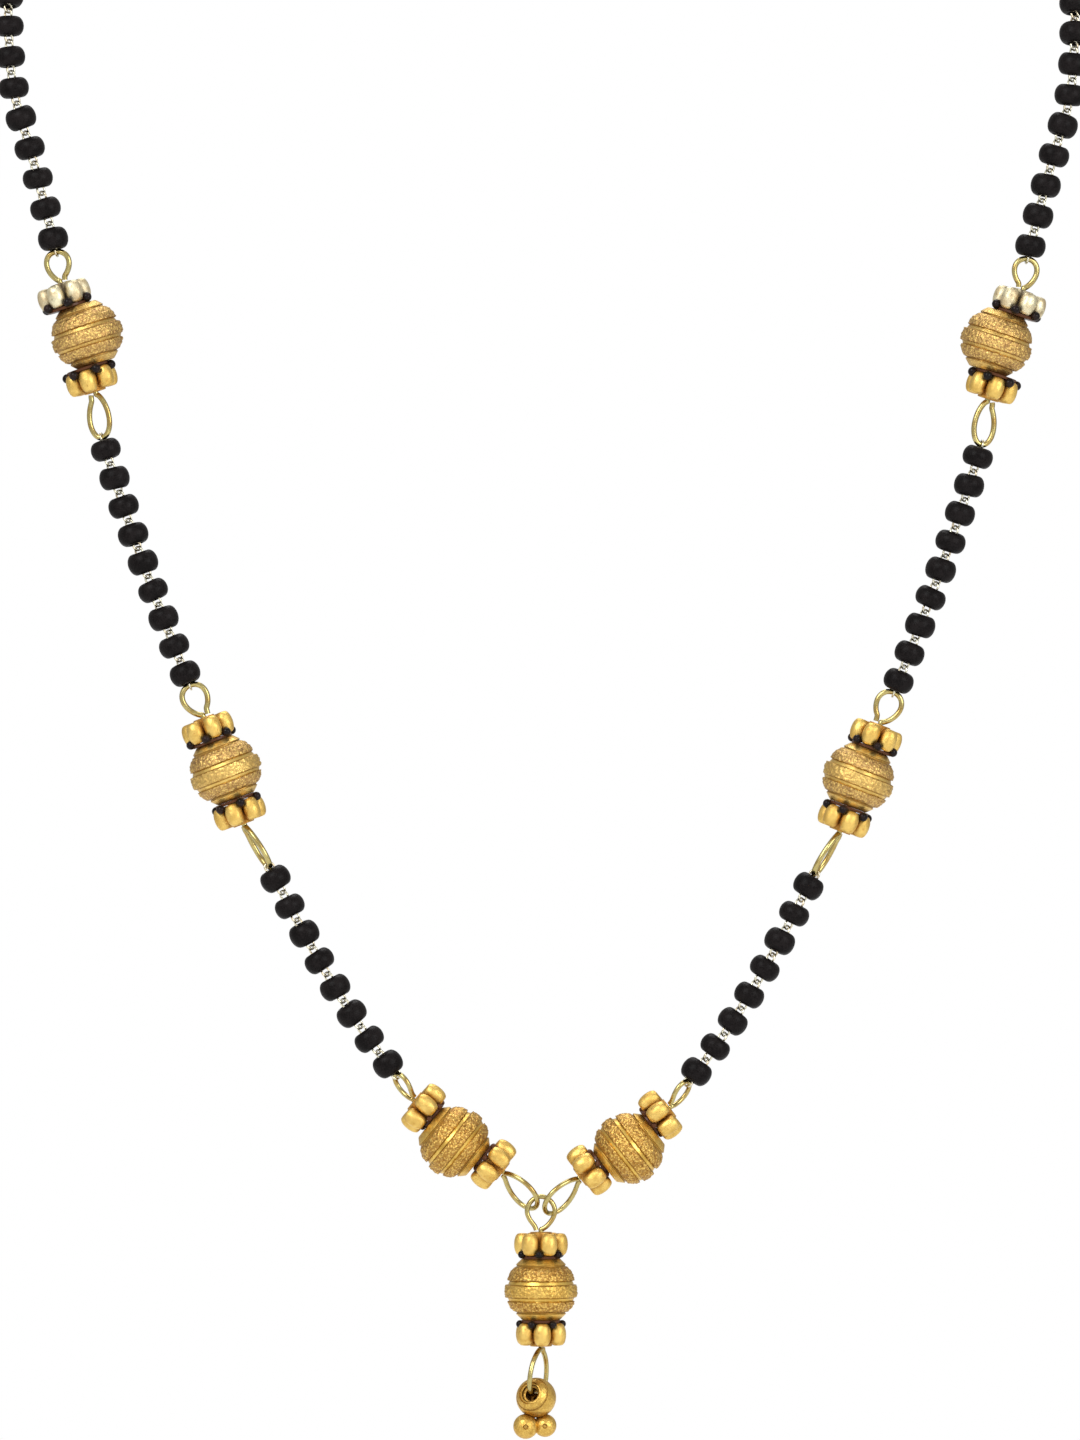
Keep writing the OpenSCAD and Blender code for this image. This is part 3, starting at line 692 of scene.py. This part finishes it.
def ball_outline(s):
    """Rows of a ball from its top hole to its bottom one, each with its finish and painted shade.
    """
    end, collar = s.ball_h / 2, s.ball_h / 2 - s.collar_h
    base, widest = s.ball_end_d / 2 + s.collar_h, s.ball_d / 2
    depth = {FROSTED: 0, GROOVE: s.collar_groove, STRIPE: s.stripe_depth}
    bore, lip = s.hole_d / 2, 0.1
    chamfer = [(bore, end - lip), (bore + lip * 0.6, end), (s.ball_end_d / 2 - 0.05, end),
               (s.ball_end_d / 2 + 0.05, end - 0.04), (base - 0.06, collar + 0.08),
               (base, collar)]
    smooth = [CHAMFER_SHINE] * len(chamfer)
    clean = [0] * len(chamfer)
    rows, finish, crease_shade = list(chamfer), list(smooth), list(clean)
    for kind, run in itertools.groupby(BANDS, key=lambda band: band[2]):
        line = [np.array((base + (widest - base) * rise - depth[kind], collar * share))
                for share, rise, _ in run]
        if kind == FROSTED:
            line = smooth_path(line, 4)
            crease_shade += [0.25, *[0] * (len(line) - 2), 0.25]
        else:
            line = [line[0] + (line[1] - line[0]) * share for share in ROW_SHARES]
            crease_shade += SHADOWS[kind]
        rows += [tuple(point) for point in line]
        finish += [int(kind != FROSTED)] * len(line)
    rows += mirrored(chamfer)
    return rows, {"finish": finish + smooth, "crease_shade": crease_shade + clean}


class MANGALSUTRA_OT_gold_balls(bpy.types.Operator):
    """Turn the seven banded gold balls"""
    bl_idname = "mangalsutra.gold_balls"
    bl_label = "Gold balls"

    def execute(self, context):
        s = context.scene.mangalsutra_balls
        rows, marks = ball_outline(s)
        model = turned("ball_model", rows, 144, marks)
        gold, paler = frosted_gold(s), frosted_gold(s, "pale_frosted_gold", 0.08)
        shine = np.empty(len(model.data.vertices), dtype=np.float32)
        model.data.attributes["finish"].data.foreach_get("value", shine)
        frosted = shine < 0.5
        height = points_of(model.data)[:, 2] / (s.ball_h / 2 - s.collar_h)
        belt = frosted & (height > BELT[0]) & (height < BELT[1])
        belted = np.where(belt, BELT_SHINE, shine)
        grit = bpy.data.textures.new("grit", "VORONOI")
        grit.noise_scale, grit.noise_intensity = 0.34 * MM, 1.6
        for stack in STACKS:
            node = f"{stack}_ball"
            turn = turning_frame(solids(node)[0], UP)
            ball = placed(copy_of(model, f"{stack}_gold_ball"), turn)
            # The belt is rubbed smooth on the pendant's and the middle balls, and the stripes of
            # the upper balls are duller.
            finish = by_place((belted, shine, belted, shine * 0.6), stack)
            ball.data.attributes["finish"].data.foreach_set("value", finish)
            frost = ball.vertex_groups.new(name="frosted")
            frost.add([int(i) for i in np.flatnonzero(frosted)], 1.0, "ADD")
            rough = ball.modifiers.new("frosting", "DISPLACE")
            rough.texture, rough.texture_coords, rough.vertex_group = grit, "LOCAL", "frosted"
            rough.strength, rough.mid_level = -s.frost * MM, 0.25
            only(ball)
            bpy.ops.object.modifier_apply(modifier="frosting")
            ball.vertex_groups.clear()
            dress(ball, by_place((gold, gold, paler, paler), stack), node)
        discard(model)
        return {"FINISHED"}


class MANGALSUTRA_OT_gold_wheels(bpy.types.Operator):
    """Solder the grains of the gold wheels to their tubes"""
    bl_idname = "mangalsutra.gold_wheels"
    bl_label = "Gold wheels"

    def execute(self, context):
        s = context.scene.mangalsutra_balls
        half, flat_r, tube_bore = s.grain_h / 2, 0.3, 0.35
        side = rounded_side(flat_r, s.grain_d / 2, half, 90, 12, 0.8)
        grain = turned("grain_model", [(2 * TIP, half), *side, (2 * TIP, -half)], 24, closed=False)
        parts = [turned("tube_model", flat_ring(
            tube_bore, s.tube_d / 2, s.tube_rise - half, s.tube_rise + half, 0.03, 0.05), 32)]
        for k in range(LOBES):
            # Each grain leans by up to 4 degrees, as soldered ones do.
            tilt = Matrix.Rotation(math.radians(4 * math.sin(k * 2.4)), 4, "X")
            place = spoke(k, (s.wheel_d - s.grain_d) / 2) @ tilt
            parts.append(placed(copy_of(grain, f"grain_{k}"), place))
        model = joined("wheel_model", parts)
        discard(grain)
        points = points_of(model.data)
        out = np.hypot(points[:, 0], points[:, 1])
        angle = np.degrees(np.arctan2(points[:, 1], points[:, 0])) % LOBE_STEP
        # Painted shade, with some tarnish, round the tube and in the valleys between the grains.
        valley = fading(np.abs(angle - LOBE_STEP / 2), 9, 9) * fading(out, 2.7, 0.5)
        mark(model, "crease_shade", fading(out, 2.15, 0.55) * 0.55 + valley * 0.4)
        gold = wheel_gold("wheel_gold", WHEEL_GOLD, WHEEL_DARK, shade(s.patina_and_shade, 1.5))
        pale = wheel_gold("pale_gold", SILVERY_GOLD, SILVERY_DARK, SILVERY_DIRT_AND_SHADE)
        shift = Matrix.Translation((0, 0, -s.tube_rise / 2 * MM))
        for stack, (end, way) in itertools.product(STACKS, ENDS):
            node = f"{stack}_{end}_wheel"
            solid = solids(node)[0]
            turn = turning_frame(solid, UP * way)
            phase = Matrix.Rotation(lobe_phase(solid, turn), 4, "Z")
            wheel = placed(copy_of(model, f"{stack}_{end}_gold_wheel"), turn @ shift @ phase)
            silvery = end == "top" and stack.endswith("upper")
            dress(wheel, pale if silvery else gold, node)
        discard(model)
        return {"FINISHED"}


class MANGALSUTRA_OT_black_wheels(bpy.types.Operator):
    """Make the black lobed wheels between the balls and the gold"""
    bl_idname = "mangalsutra.black_wheels"
    bl_label = "Black wheels"

    def execute(self, context):
        s = context.scene.mangalsutra_balls
        material = black_gloss()
        for stack, (end, way) in itertools.product(STACKS, ENDS):
            lobe = by_place(s.lobe_ds, stack) / 2
            node = f"{stack}_{end}_black_wheel"
            solid = solids(node)[0]
            turn = turning_frame(solid, UP * way)
            local = seen_in(turn, surface(solid))
            out = np.hypot(local[:, 0], local[:, 1]) / MM
            ring = out.max() - lobe
            rim = ring - lobe * 0.4
            washer = turned("washer", flat_ring(
                out.min(), rim, -lobe - 0.03, s.washer_h - lobe, 0.02, 0.05), 60)
            seed = added(bpy.ops.mesh.primitive_uv_sphere_add, segments=24, ring_count=14,
                         radius=lobe * MM)
            phase = lobe_phase(solid, turn)
            lobes = [placed(copy_of(seed, f"lobe_{k}"), spoke(k, ring, phase))
                     for k in range(LOBES)]
            discard(seed)
            wheel = fused(f"{stack}_{end}_lobed_wheel", washer, lobes)
            points = points_of(wheel.data)
            flat = np.hypot(points[:, 0], points[:, 1]) < rim + 0.01
            # The lower wheels are brown all over: painted shade where their grains meet the ball.
            mark(wheel, "toned", flat | stack.endswith("lower"))
            dress(close_up(placed(wheel, turn)), material, node)
        return {"FINISHED"}


def wires(name, paths, diameter, resolution):
    """Round wires bent along paths of points in millimetres, as one mesh with closed ends."""
    curve = bpy.data.curves.new(name, "CURVE")
    curve.dimensions, curve.use_fill_caps = "3D", True
    curve.bevel_depth, curve.bevel_resolution = diameter / 2 * MM, resolution
    for path in paths:
        line = curve.splines.new("POLY")
        line.points.add(len(path) - 1)
        for point, place in zip(line.points, path):
            point.co = (*(np.array(place) * MM), 1)
    wire = bpy.data.objects.new(name, curve)
    bpy.context.scene.collection.objects.link(wire)
    only(wire)
    bpy.ops.object.convert(target="MESH")
    wire = bpy.context.object
    wire.data.name = name
    return close_up(wire, 50)


def smooth_path(path, steps):
    """A smooth curve through the path's points, with this many steps from one to the next."""
    p = [2 * path[0] - path[1], *path, 2 * path[-1] - path[-2]]
    out = []
    for a, b, c, d in zip(p, p[1:], p[2:], p[3:]):
        for k in range(steps):
            t = k / steps
            out.append(0.5 * (2 * b + (c - a) * t + (2 * a - 5 * b + 4 * c - d) * t * t
                              + (3 * b - a - 3 * c + d) * t ** 3))
    return out + [path[-1]]


def wire_middles(node):
    """The middle line of a faceted wire, ring by ring from one flat end to the other."""
    points, triangles = faceted(node)
    near = [set() for _ in points]
    for corners in triangles:
        for v in corners:
            near[v] |= set(corners)
    # A point along the wire is a corner of six triangles, and one on an end isn't.
    end_points = set(np.flatnonzero(np.bincount(triangles.ravel()) != 6))
    ring = {min(end_points)}
    for _ in end_points:
        ring |= set().union(*(near[v] for v in ring)) & end_points
    seen, middles = set(ring), []
    while ring:
        middles.append(points[list(ring)].mean(axis=0))
        ring = set().union(*(near[v] for v in ring)) - seen
        seen |= ring
    return middles


def tucked(path, wire_d):
    """The path with its first end bent against the shaft that the loop starts from."""
    far = [np.linalg.norm(point - path[0]) for point in path]
    neck = NECK_RINGS.start + int(np.argmin(far[NECK_RINGS]))
    along = path[neck + 1] - path[neck]
    along = along / np.linalg.norm(along)
    side = path[0] - path[neck]
    side = side - along * (side @ along)
    end = path[neck] + side / np.linalg.norm(side) * wire_d * 0.96 + along * 0.06
    return [end, *path]


class MANGALSUTRA_OT_eye_pins(bpy.types.Operator):
    """Bend the gold wires through the balls"""
    bl_idname = "mangalsutra.eye_pins"
    bl_label = "Eye pins"

    def execute(self, context):
        s = context.scene.mangalsutra_beads
        material = drawn_wire("pin_wire", s.wire, PIN_TARNISH, 0.18)
        for stack in STACKS:
            node = f"{stack}_eye_pin"
            wire_d = by_place(s.pin_wire_ds, stack)
            line = tucked(tucked(wire_middles(node), wire_d)[::-1], wire_d)
            # The longest step is the shaft, and each loop is smoothed by itself.
            shaft = 1 + int(np.argmax([np.linalg.norm(b - a) for a, b in zip(line, line[1:])]))
            path = smooth_path(line[:shaft], 3) + smooth_path(line[shaft:], 3)
            pin = wires(f"{stack}_bent_wire", [path], wire_d, 3)
            dress(pin, material, node)
        return {"FINISHED"}


class MANGALSUTRA_OT_bead_strands(bpy.types.Operator):
    """Thread the black glass beads"""
    bl_idname = "mangalsutra.bead_strands"
    bl_label = "Bead strands"

    def execute(self, context):
        s = context.scene.mangalsutra_beads
        half, bore = s.bead_h / 2, s.hole_d / 2
        cup = s.link_ring_d / 2 + 0.15
        mouth = [(bore, half * 0.3), (bore + 0.12, half * 0.48), (cup * 0.8, half * 0.74),
                 (cup, half - 0.06), (cup + 0.04, half)]
        side = rounded_side(s.flat_d / 2, s.bead_d / 2, half, 84, 14)
        model = turned("bead_model", [*mouth, *side, *mirrored(mouth)], 40)
        material = black_glass(s)
        for strand in STRANDS:
            node = f"{strand}_beads"
            beads = []
            for k, solid in enumerate(solids(node)):
                roll = Matrix.Rotation(k * 2.4, 4, "Z")
                # No two beads are quite alike in turn, width and height.
                waves = [0.5 + 0.5 * math.sin(k * pace + len(strand)) for pace in (5.1, 3.7)]
                wide, tall = 1 - 0.02 * waves[0], 1 - 0.12 * waves[1]
                turn = turning_frame(solid, UP) @ roll @ Matrix.Diagonal((wide, wide, tall, 1))
                beads.append(placed(copy_of(model, f"bead_{k}"), turn))
            dress(joined(f"{strand}_glass_beads", beads), material, node)
        discard(model)
        return {"FINISHED"}


def link_path(solid, ring_d, wire_d):
    """The middle line of one bead's wire: round one ring, along the shaft, round the other."""
    middle, _, ways = spread(solid)
    axis = ways[2]
    used = surface(solid)
    along = (used - middle) @ axis
    ring_r = (ring_d - wire_d) / 2
    gap, turns = math.radians(14), 22
    angles = gap + 2 * (math.pi - gap) * np.arange(turns + 1) / turns
    path = []
    for way in (-1, 1):
        tip = (along * way).max() - ring_d / 2
        centre = middle + axis * way * tip
        out = used[np.abs(along * way - tip) < ring_d * 0.45] - centre
        across = out - np.outer(out @ axis, axis)
        side = np.linalg.eigh(across.T @ across)[1][:, 2]
        ring = [centre - axis * way * ring_r * math.cos(a) + side * ring_r * math.sin(a)
                for a in angles]
        foot = centre - axis * way * (ring_r + wire_d * 0.3)
        neck = centre - axis * way * (ring_r + wire_d * 1.3)
        path += [*ring, foot, neck] if way < 0 else [neck, foot, *reversed(ring)]
    return path


class MANGALSUTRA_OT_bead_links(bpy.types.Operator):
    """Bend the pale wire links that carry the beads"""
    bl_idname = "mangalsutra.bead_links"
    bl_label = "Bead links"

    def execute(self, context):
        s = context.scene.mangalsutra_beads
        material = drawn_wire("link_wire", s.pale, LINK_TARNISH, 0.14)
        for strand in STRANDS:
            node = f"{strand}_links"
            paths = [link_path(solid, s.link_ring_d, s.link_wire_d) for solid in solids(node)]
            links = wires(f"{strand}_wire_links", paths, s.link_wire_d, 2)
            dress(links, material, node)
        return {"FINISHED"}


def mouth_radii(s):
    """Radii of the drop's hole and of the two steps round it."""
    bore = s.hole_d / 2
    return bore, bore * 1.45, bore * 1.9


def drop_cutters(s, middle, front, rear):
    """What is cut out of the drop: its two stepped mouths, a slimmer way through to the back, a
    fine ring round the front mouth and a dimple in each small ball."""
    r = DROP_BALLS[0][1] / 2
    bore, mid, wide = mouth_radii(s)
    floor = -0.15
    brim = [(wide + 0.1, r * 1.2), (TIP, r * 1.2)]
    steps = [(TIP, floor), (bore, floor), (bore, r * 0.5), (bore + 0.06, r * 0.56),
             (mid - 0.08, r * 0.57), (mid, r * 0.6), (mid, r * 0.68), (mid + 0.06, r * 0.73),
             (mid + 0.14, r * 0.73), (wide - 0.07, r * 0.71), (wide, r * 0.75),
             (wide + 0.02, r * 0.85), *brim]
    rear_steps = [(TIP, r * 0.7), (bore, r * 0.7), (mid - 0.08, r * 0.75), (mid, r * 0.79),
                  (mid, r * 0.83), (wide - 0.07, r * 0.86), (wide, r * 0.9), *brim]
    slot = [(TIP, floor), (bore, floor), (bore, r * 0.8), (TIP, r * 0.8)]
    ahead, behind = upright(middle, front, UP), upright(middle, rear, UP)
    cutters = [placed(turned("mouth", rows, 48, closed=False), turn) for rows, turn in (
        (steps, ahead), (rear_steps, behind), (slot, behind @ Matrix.Diagonal((0.6, 1, 1, 1))))]
    ring = added(bpy.ops.mesh.primitive_torus_add, major_segments=64, minor_segments=8,
                 major_radius=r * RING_SHARE * MM, minor_radius=0.08 * MM,
                 location=(0, 0, r * RING_RISE * MM))
    cutters.append(placed(ring, ahead))
    for place, size in DROP_BALLS[1:]:
        rows = [(TIP, -size * 0.02), (size * 0.07, -size * 0.01), (size * 0.1, size * 0.04),
                (size * 0.13, size * 0.14), (TIP, size * 0.14)]
        face = upright(np.array(place) - [0, size * 0.42, 0], -VIEW, UP)
        cutters.append(placed(turned("dimple", rows, 24, closed=False), face))
    return cutters


def drop_shadow(points, middle, front, rear, radii):
    """How dark the drop is at each point: deep in its hole, along the steps and the fine ring,
    in the dimples and at the solder."""
    r = DROP_BALLS[0][1] / 2
    off = points - middle
    share = np.linalg.norm(off, axis=1) / r
    ahead = np.maximum(off @ np.array(front), off @ np.array(rear))
    out = np.sqrt(np.maximum(0, (share * r) ** 2 - ahead ** 2))
    # What lies below this share of the radius was cut, and what lies far below it is deep.
    cut = share < 0.985
    lines = [(radius, width, cut) for radius, width in zip(radii, (0.2, 0.12, 0.12))]
    lines.append((r * RING_SHARE, 0.1, cut | (off[:, 1] < 0)))
    shadows = [np.where(share < 0.7, 0.85, 0)]
    for radius, width, seen in lines:
        edge = 0.75 * fading(np.abs(out - radius), width, width)
        shadows.append(np.where(seen & (share < 1.02), edge, 0))
    for place, size in DROP_BALLS[1:]:
        depth = np.linalg.norm(points - np.array(place), axis=1) / (size / 2)
        shadows.append(np.where(depth < 0.97, 0.45, 0))
    solder = (off[:, 2] < -r * 0.7) & (np.abs(share - 1) < 0.03)
    shadows.append(np.where(solder, 0.55, 0))
    return np.max(shadows, axis=0)


class MANGALSUTRA_OT_drop(bpy.types.Operator):
    """Solder the drop's three balls and cut its stepped mouths"""
    bl_idname = "mangalsutra.drop"
    bl_label = "Drop"

    def execute(self, context):
        s = context.scene.mangalsutra_drop
        balls = [added(bpy.ops.mesh.primitive_uv_sphere_add, segments=72, ring_count=44,
                       radius=size / 2 * MM, location=Vector(place) * MM)
                 for place, size in DROP_BALLS]
        middle = np.array(DROP_BALLS[0][0])
        front, rear = (DROP_FRONT * way * math.cos(slope) + UP * math.sin(slope)
                       for way, slope in zip((1, -1), map(math.radians, s.pitch)))
        drop = fused("soldered_drop", balls[0], balls[1:])
        fused("soldered_drop", drop, drop_cutters(s, middle, front, rear), "DIFFERENCE")
        points = points_of(drop.data)
        mark(drop, "crease_shade", drop_shadow(points, middle, front, rear, mouth_radii(s)))
        mark(drop, "finish", np.full(len(points), 0.6))
        gold = frosted_gold(context.scene.mangalsutra_balls, "drop_gold")
        dress(close_up(drop, 35), gold, "drop_cluster")
        return {"FINISHED"}


class MANGALSUTRA_OT_clasp(bpy.types.Operator):
    """Turn the clasp's barrel and bend its eyes"""
    bl_idname = "mangalsutra.clasp"
    bl_label = "Clasp"

    def execute(self, context):
        s = context.scene.mangalsutra_drop
        half, r = s.clasp_len / 2, s.clasp_d / 2
        end = [(TIP, half), (r - 0.35, half), (r - 0.12, half - 0.08), (r, half - 0.3),
               (r, half - 1.1), (r - 0.1, half - 1.2), (r - 0.1, half - 1.35), (r, half - 1.45)]
        barrel = turned("clasp_barrel_body", [*end, *mirrored(end)], 72, closed=False)
        lying = Matrix.Translation((0, r * MM, 0)) @ Matrix.Rotation(math.radians(90), 4, "Y")
        eyes = [added(bpy.ops.mesh.primitive_torus_add, major_segments=48, minor_segments=14,
                      major_radius=s.clasp_eye_d / 2 * MM, minor_radius=s.eye_wire_d / 2 * MM,
                      location=(way * (half + s.clasp_eye_d / 2) * MM, r * MM, 0))
                for way in (-1, 1)]
        clasp = close_up(fused("plain_clasp", placed(barrel, lying), eyes))
        patina_and_shade = context.scene.mangalsutra_balls.patina_and_shade
        gold = wheel_gold("clasp_gold", CLASP_GOLD, CLASP_DARK, patina_and_shade)
        dress(clasp, gold, "clasp_barrel")
        return {"FINISHED"}


class MANGALSUTRA_OT_studio(bpy.types.Operator):
    """Set the floor, the light and the camera"""
    bl_idname = "mangalsutra.studio"
    bl_label = "Studio"

    def execute(self, context):
        s = context.scene.mangalsutra_studio
        near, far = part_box("pendant_ball")
        front = (near.y + far.y) / 2
        only()
        bpy.ops.mesh.primitive_circle_add(vertices=96, radius=0.34, fill_type="NGON",
                                          location=(0, -0.02, CAD_BOX[0].z - s.floor_gap))
        floor = bpy.context.object
        floor.name = "floor"
        floor.data.materials.append(studio_floor())
        eye = bpy.data.cameras.new("camera")
        eye.lens = eye.sensor_width * s.distance / s.frame_height
        eye.clip_end = 10
        camera = bpy.data.objects.new("camera", eye)
        context.scene.collection.objects.link(camera)
        camera.location = (PICTURE_X, front - s.distance, PICTURE_Z)
        camera.rotation_euler = (math.radians(90), 0, 0)
        context.scene.camera = camera
        aim = Vector((0, front, -0.1))
        for k, (place, size, power) in enumerate(SOFTBOXES):
            lamp = bpy.data.lights.new(f"softbox_{k}", "AREA")
            lamp.size, lamp.energy = size, power * s.light
            box = bpy.data.objects.new(f"softbox_{k}", lamp)
            context.scene.collection.objects.link(box)
            box.location = place
            box.rotation_euler = (aim - Vector(place)).to_track_quat("-Z", "Y").to_euler()
        world = bpy.data.worlds.new("studio")
        context.scene.world = world
        world.use_nodes = True
        room = Nodes(world.node_tree)
        way = room.add("ShaderNodeTexCoord", output="Generated")
        depth = room.add("ShaderNodeSeparateXYZ", inputs={"Vector": way}, output="Y")
        grey = room.ramp(depth, -0.5, 0.8, s.front_glow, s.back_glow)
        glow = room.add("ShaderNodeBackground", inputs={"Color": grey})
        white = room.add("ShaderNodeBackground", inputs={"Color": (1, 1, 1)})
        seen = room.add("ShaderNodeLightPath", output="Is Camera Ray")
        shown = room.add("ShaderNodeMixShader", inputs={"Fac": seen, 1: glow, 2: white})
        room.join(room.tree.nodes["World Output"].inputs["Surface"], shown)
        context.scene.view_settings.view_transform = "Standard"
        return {"FINISHED"}


class MANGALSUTRA_PT_panel(bpy.types.Panel):
    """The necklace's steps in the sidebar"""
    bl_idname = "MANGALSUTRA_PT_panel"
    bl_label = "Mangalsutra"
    bl_space_type = "VIEW_3D"
    bl_region_type = "UI"
    bl_category = "Mangalsutra"

    def draw(self, context):
        for operator in STEPS:
            self.layout.operator(operator.bl_idname)


SETTINGS = {
    "mangalsutra_balls": BallSizes, "mangalsutra_beads": BeadSizes, "mangalsutra_drop": DropSizes,
    "mangalsutra_studio": StudioSettings,
}
STEPS = (
    MANGALSUTRA_OT_studio, MANGALSUTRA_OT_gold_balls, MANGALSUTRA_OT_gold_wheels,
    MANGALSUTRA_OT_black_wheels, MANGALSUTRA_OT_eye_pins, MANGALSUTRA_OT_bead_strands,
    MANGALSUTRA_OT_bead_links, MANGALSUTRA_OT_drop, MANGALSUTRA_OT_clasp,
)
CLASSES = (*SETTINGS.values(), *STEPS, MANGALSUTRA_PT_panel)


def register():
    for group in CLASSES:
        bpy.utils.register_class(group)
    for name, group in SETTINGS.items():
        setattr(bpy.types.Scene, name, bpy.props.PointerProperty(type=group))


def unregister():
    for name in SETTINGS:
        delattr(bpy.types.Scene, name)
    for group in reversed(CLASSES):
        bpy.utils.unregister_class(group)


def main():
    register()
    for step in STEPS:
        section, name = step.bl_idname.split(".")
        getattr(getattr(bpy.ops, section), name)()


if __name__ == "__main__":
    main()
